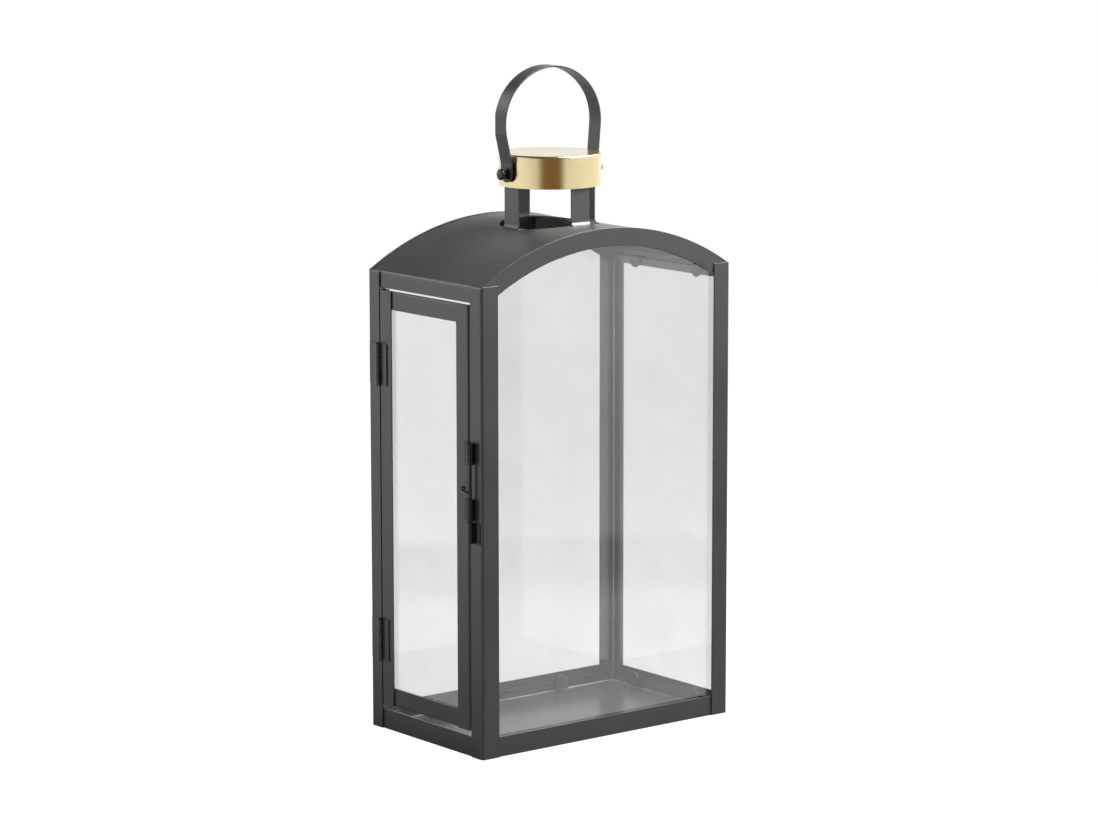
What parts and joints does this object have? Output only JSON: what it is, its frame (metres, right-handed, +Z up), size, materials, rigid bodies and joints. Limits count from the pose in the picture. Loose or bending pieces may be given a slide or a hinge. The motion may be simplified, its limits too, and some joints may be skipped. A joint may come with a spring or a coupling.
{
  "type": "candle lantern",
  "caption": "Glazed steel candle lantern with an arched roof, a vent cap on legs, a swinging bail handle and a hinged side door held by a sliding pin latch.",
  "frame": {"origin": "centre of the base between the four corner posts, on the surface it stands on", "axes": "+X to the right along the width, +Y to the rear, +Z up; the front looks to -Y and the door is on the -X side"},
  "size_m": [0.2278, 0.13, 0.4659],
  "materials": {
    "frame_steel": "satin black powder coat on folded sheet steel",
    "cap_brass": "spun and polished, clear lacquer",
    "clear_glass": "clear float glass with ground edges",
    "zinc_hardware": "zinc plated",
    "black_hardware": "glossy black lacquer"
  },
  "bodies": {
    "frame": {"floor_pan": "frame_steel", "post_front_left": "frame_steel", "post_front_right": "frame_steel", "post_rear_left": "frame_steel", "post_rear_right": "frame_steel", "front_base_rail": "frame_steel", "rear_base_rail": "frame_steel", "left_base_rail": "frame_steel", "right_base_rail": "frame_steel", "front_arch": "frame_steel", "rear_arch": "frame_steel", "roof": "frame_steel", "cap_leg_left": "frame_steel", "cap_leg_right": "frame_steel", "cap_leg_front": "frame_steel", "cap_leg_rear": "frame_steel", "front_glass_clips": "frame_steel", "rear_glass_clips": "frame_steel", "right_glass_clips": "frame_steel", "lower_hinge_post_leaf": "frame_steel", "upper_hinge_post_leaf": "frame_steel", "bail_screw_left": "black_hardware", "bail_screw_right": "black_hardware", "bail_washer_left": "black_hardware", "bail_washer_right": "black_hardware", "lower_hinge_pin": "black_hardware", "upper_hinge_pin": "black_hardware", "latch_keeper": "black_hardware", "vent_cap": "cap_brass", "front_glass": "clear_glass", "rear_glass": "clear_glass", "right_glass": "clear_glass", "bail_nut_left": "zinc_hardware", "bail_nut_right": "zinc_hardware"},
    "door": {"door_glass": "clear_glass", "door_glass_clips": "frame_steel", "door_hinge_stile": "frame_steel", "door_free_stile": "frame_steel", "door_top_rail": "frame_steel", "door_bottom_rail": "frame_steel", "lower_hinge_door_leaf": "frame_steel", "upper_hinge_door_leaf": "frame_steel", "latch_lower_barrel": "black_hardware", "latch_upper_barrel": "black_hardware"},
    "latch": {"latch_pin": "black_hardware"},
    "bail": {"bail_handle": "frame_steel"}
  },
  "joints": [
    {"name": "door_hinge", "type": "hinge", "parent": "frame", "child": "door", "pos_m": [-0.1123, 0.0512, 0], "axis": [0, 0, -1], "range_deg": [0, 170]},
    {"name": "latch_slide", "type": "slide", "parent": "door", "child": "latch", "axis": [0, 0, 1], "range_m": [-0.0032, 0.014]},
    {"name": "bail_pivot", "type": "hinge", "parent": "frame", "child": "bail", "pos_m": [0, 0, 0.3923], "axis": [1, 0, 0], "range_deg": [-112, 112]}
  ]
}
